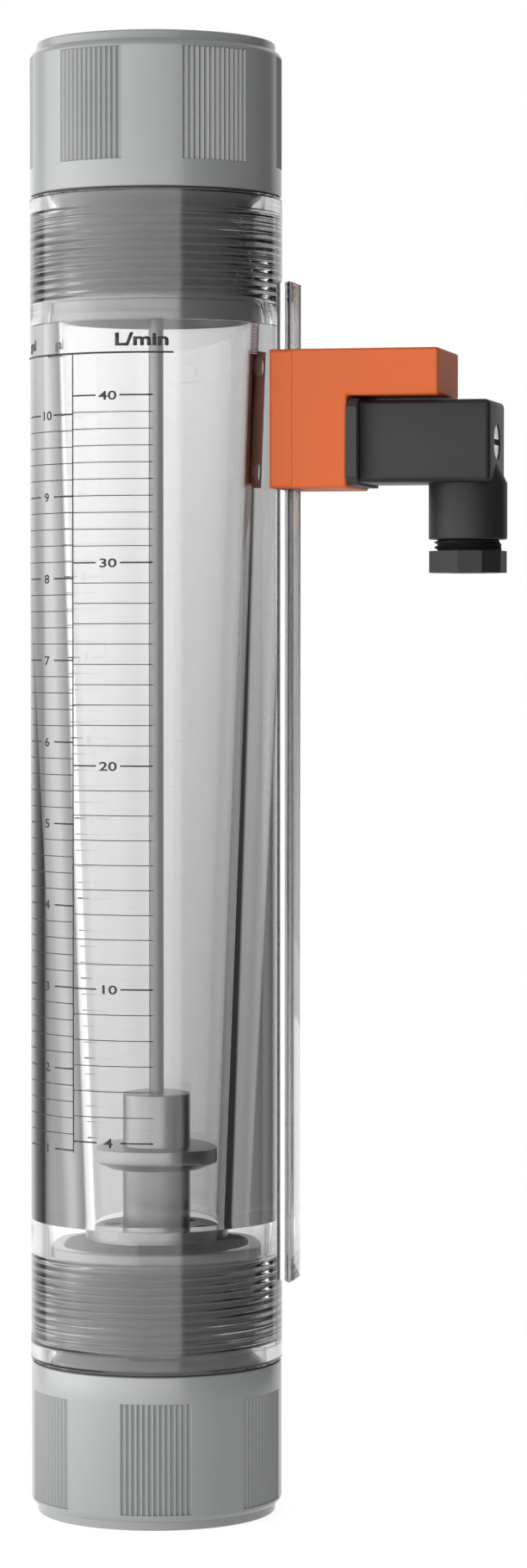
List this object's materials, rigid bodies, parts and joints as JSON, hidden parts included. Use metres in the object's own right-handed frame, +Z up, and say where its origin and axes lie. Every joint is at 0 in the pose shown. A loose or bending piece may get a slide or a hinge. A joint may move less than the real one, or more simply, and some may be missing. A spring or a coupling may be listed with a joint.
{
  "type": "rotameter",
  "caption": "Clear tapered-tube flow meter with a float on a guide rod, ribbed end fittings and a limit switch with angled plug connector that slides on the tube's dovetail rail.",
  "frame": {"origin": "centre of the lower port's mouth, at the lower fitting's end face", "axes": "+Z up along the tube, with the flow; +X from the tube's axis to the rail and the switch"},
  "size_m": [0.1143, 0.06, 0.3482],
  "materials": {
    "clear_tube": "clear moulded polymer, polished",
    "grey_fitting": "moulded, satin",
    "stainless_steel": "turned",
    "orange_plastic": "moulded, satin",
    "black_plastic": "moulded, satin",
    "black_rubber": "matte",
    "magnet": "sintered",
    "board": "lacquered",
    "reed_glass": "clear",
    "brass_contacts": "plated"
  },
  "bodies": {
    "meter": {"measuring_tube": "clear_tube", "lower_fitting": "grey_fitting", "upper_fitting": "grey_fitting", "lower_seal": "black_rubber", "upper_seal": "black_rubber", "guide_rod": "stainless_steel", "lower_rod_holder": "stainless_steel", "upper_rod_holder": "stainless_steel", "lower_rod_nut": "stainless_steel", "upper_rod_nut": "stainless_steel"},
    "float": {"float_body": "stainless_steel", "float_end_plug": "stainless_steel", "float_magnet": "magnet"},
    "switch": {"switch_clamp": "orange_plastic", "switch_housing": "orange_plastic", "clamp_screws": "stainless_steel", "circuit_board": "board", "reed_switch": "reed_glass", "contact_blades": "brass_contacts", "connector_gasket": "black_rubber", "connector_housing": "black_plastic", "terminal_insert": "black_plastic", "connector_screw": "stainless_steel", "gland_seal": "black_rubber"},
    "gland_ring": {"gland_washer": "stainless_steel"},
    "gland_nut": {"gland_nut": "black_plastic"}
  },
  "joints": [
    {"name": "float_slide", "type": "slide", "parent": "meter", "child": "float", "axis": [0, 0, 1], "range_m": [0, 0.1848]},
    {"name": "switch_slide", "type": "slide", "parent": "meter", "child": "switch", "axis": [0, 0, 1], "range_m": [-0.1865, 0.016]},
    {"name": "gland_nut_travel", "type": "slide", "parent": "switch", "child": "gland_ring", "axis": [0, 0, 1], "range_m": [-0.0016, 0.0013]},
    {"name": "gland_nut_turn", "type": "hinge", "parent": "gland_ring", "child": "gland_nut", "pos_m": [0.0751, 0, 0.2256], "axis": [0, 0, 1], "range_deg": [-385, 313]}
  ],
  "couplings": [
    {"joint": "gland_nut_turn", "follows": "gland_nut_travel", "rad_per_m": 4188.8}
  ]
}
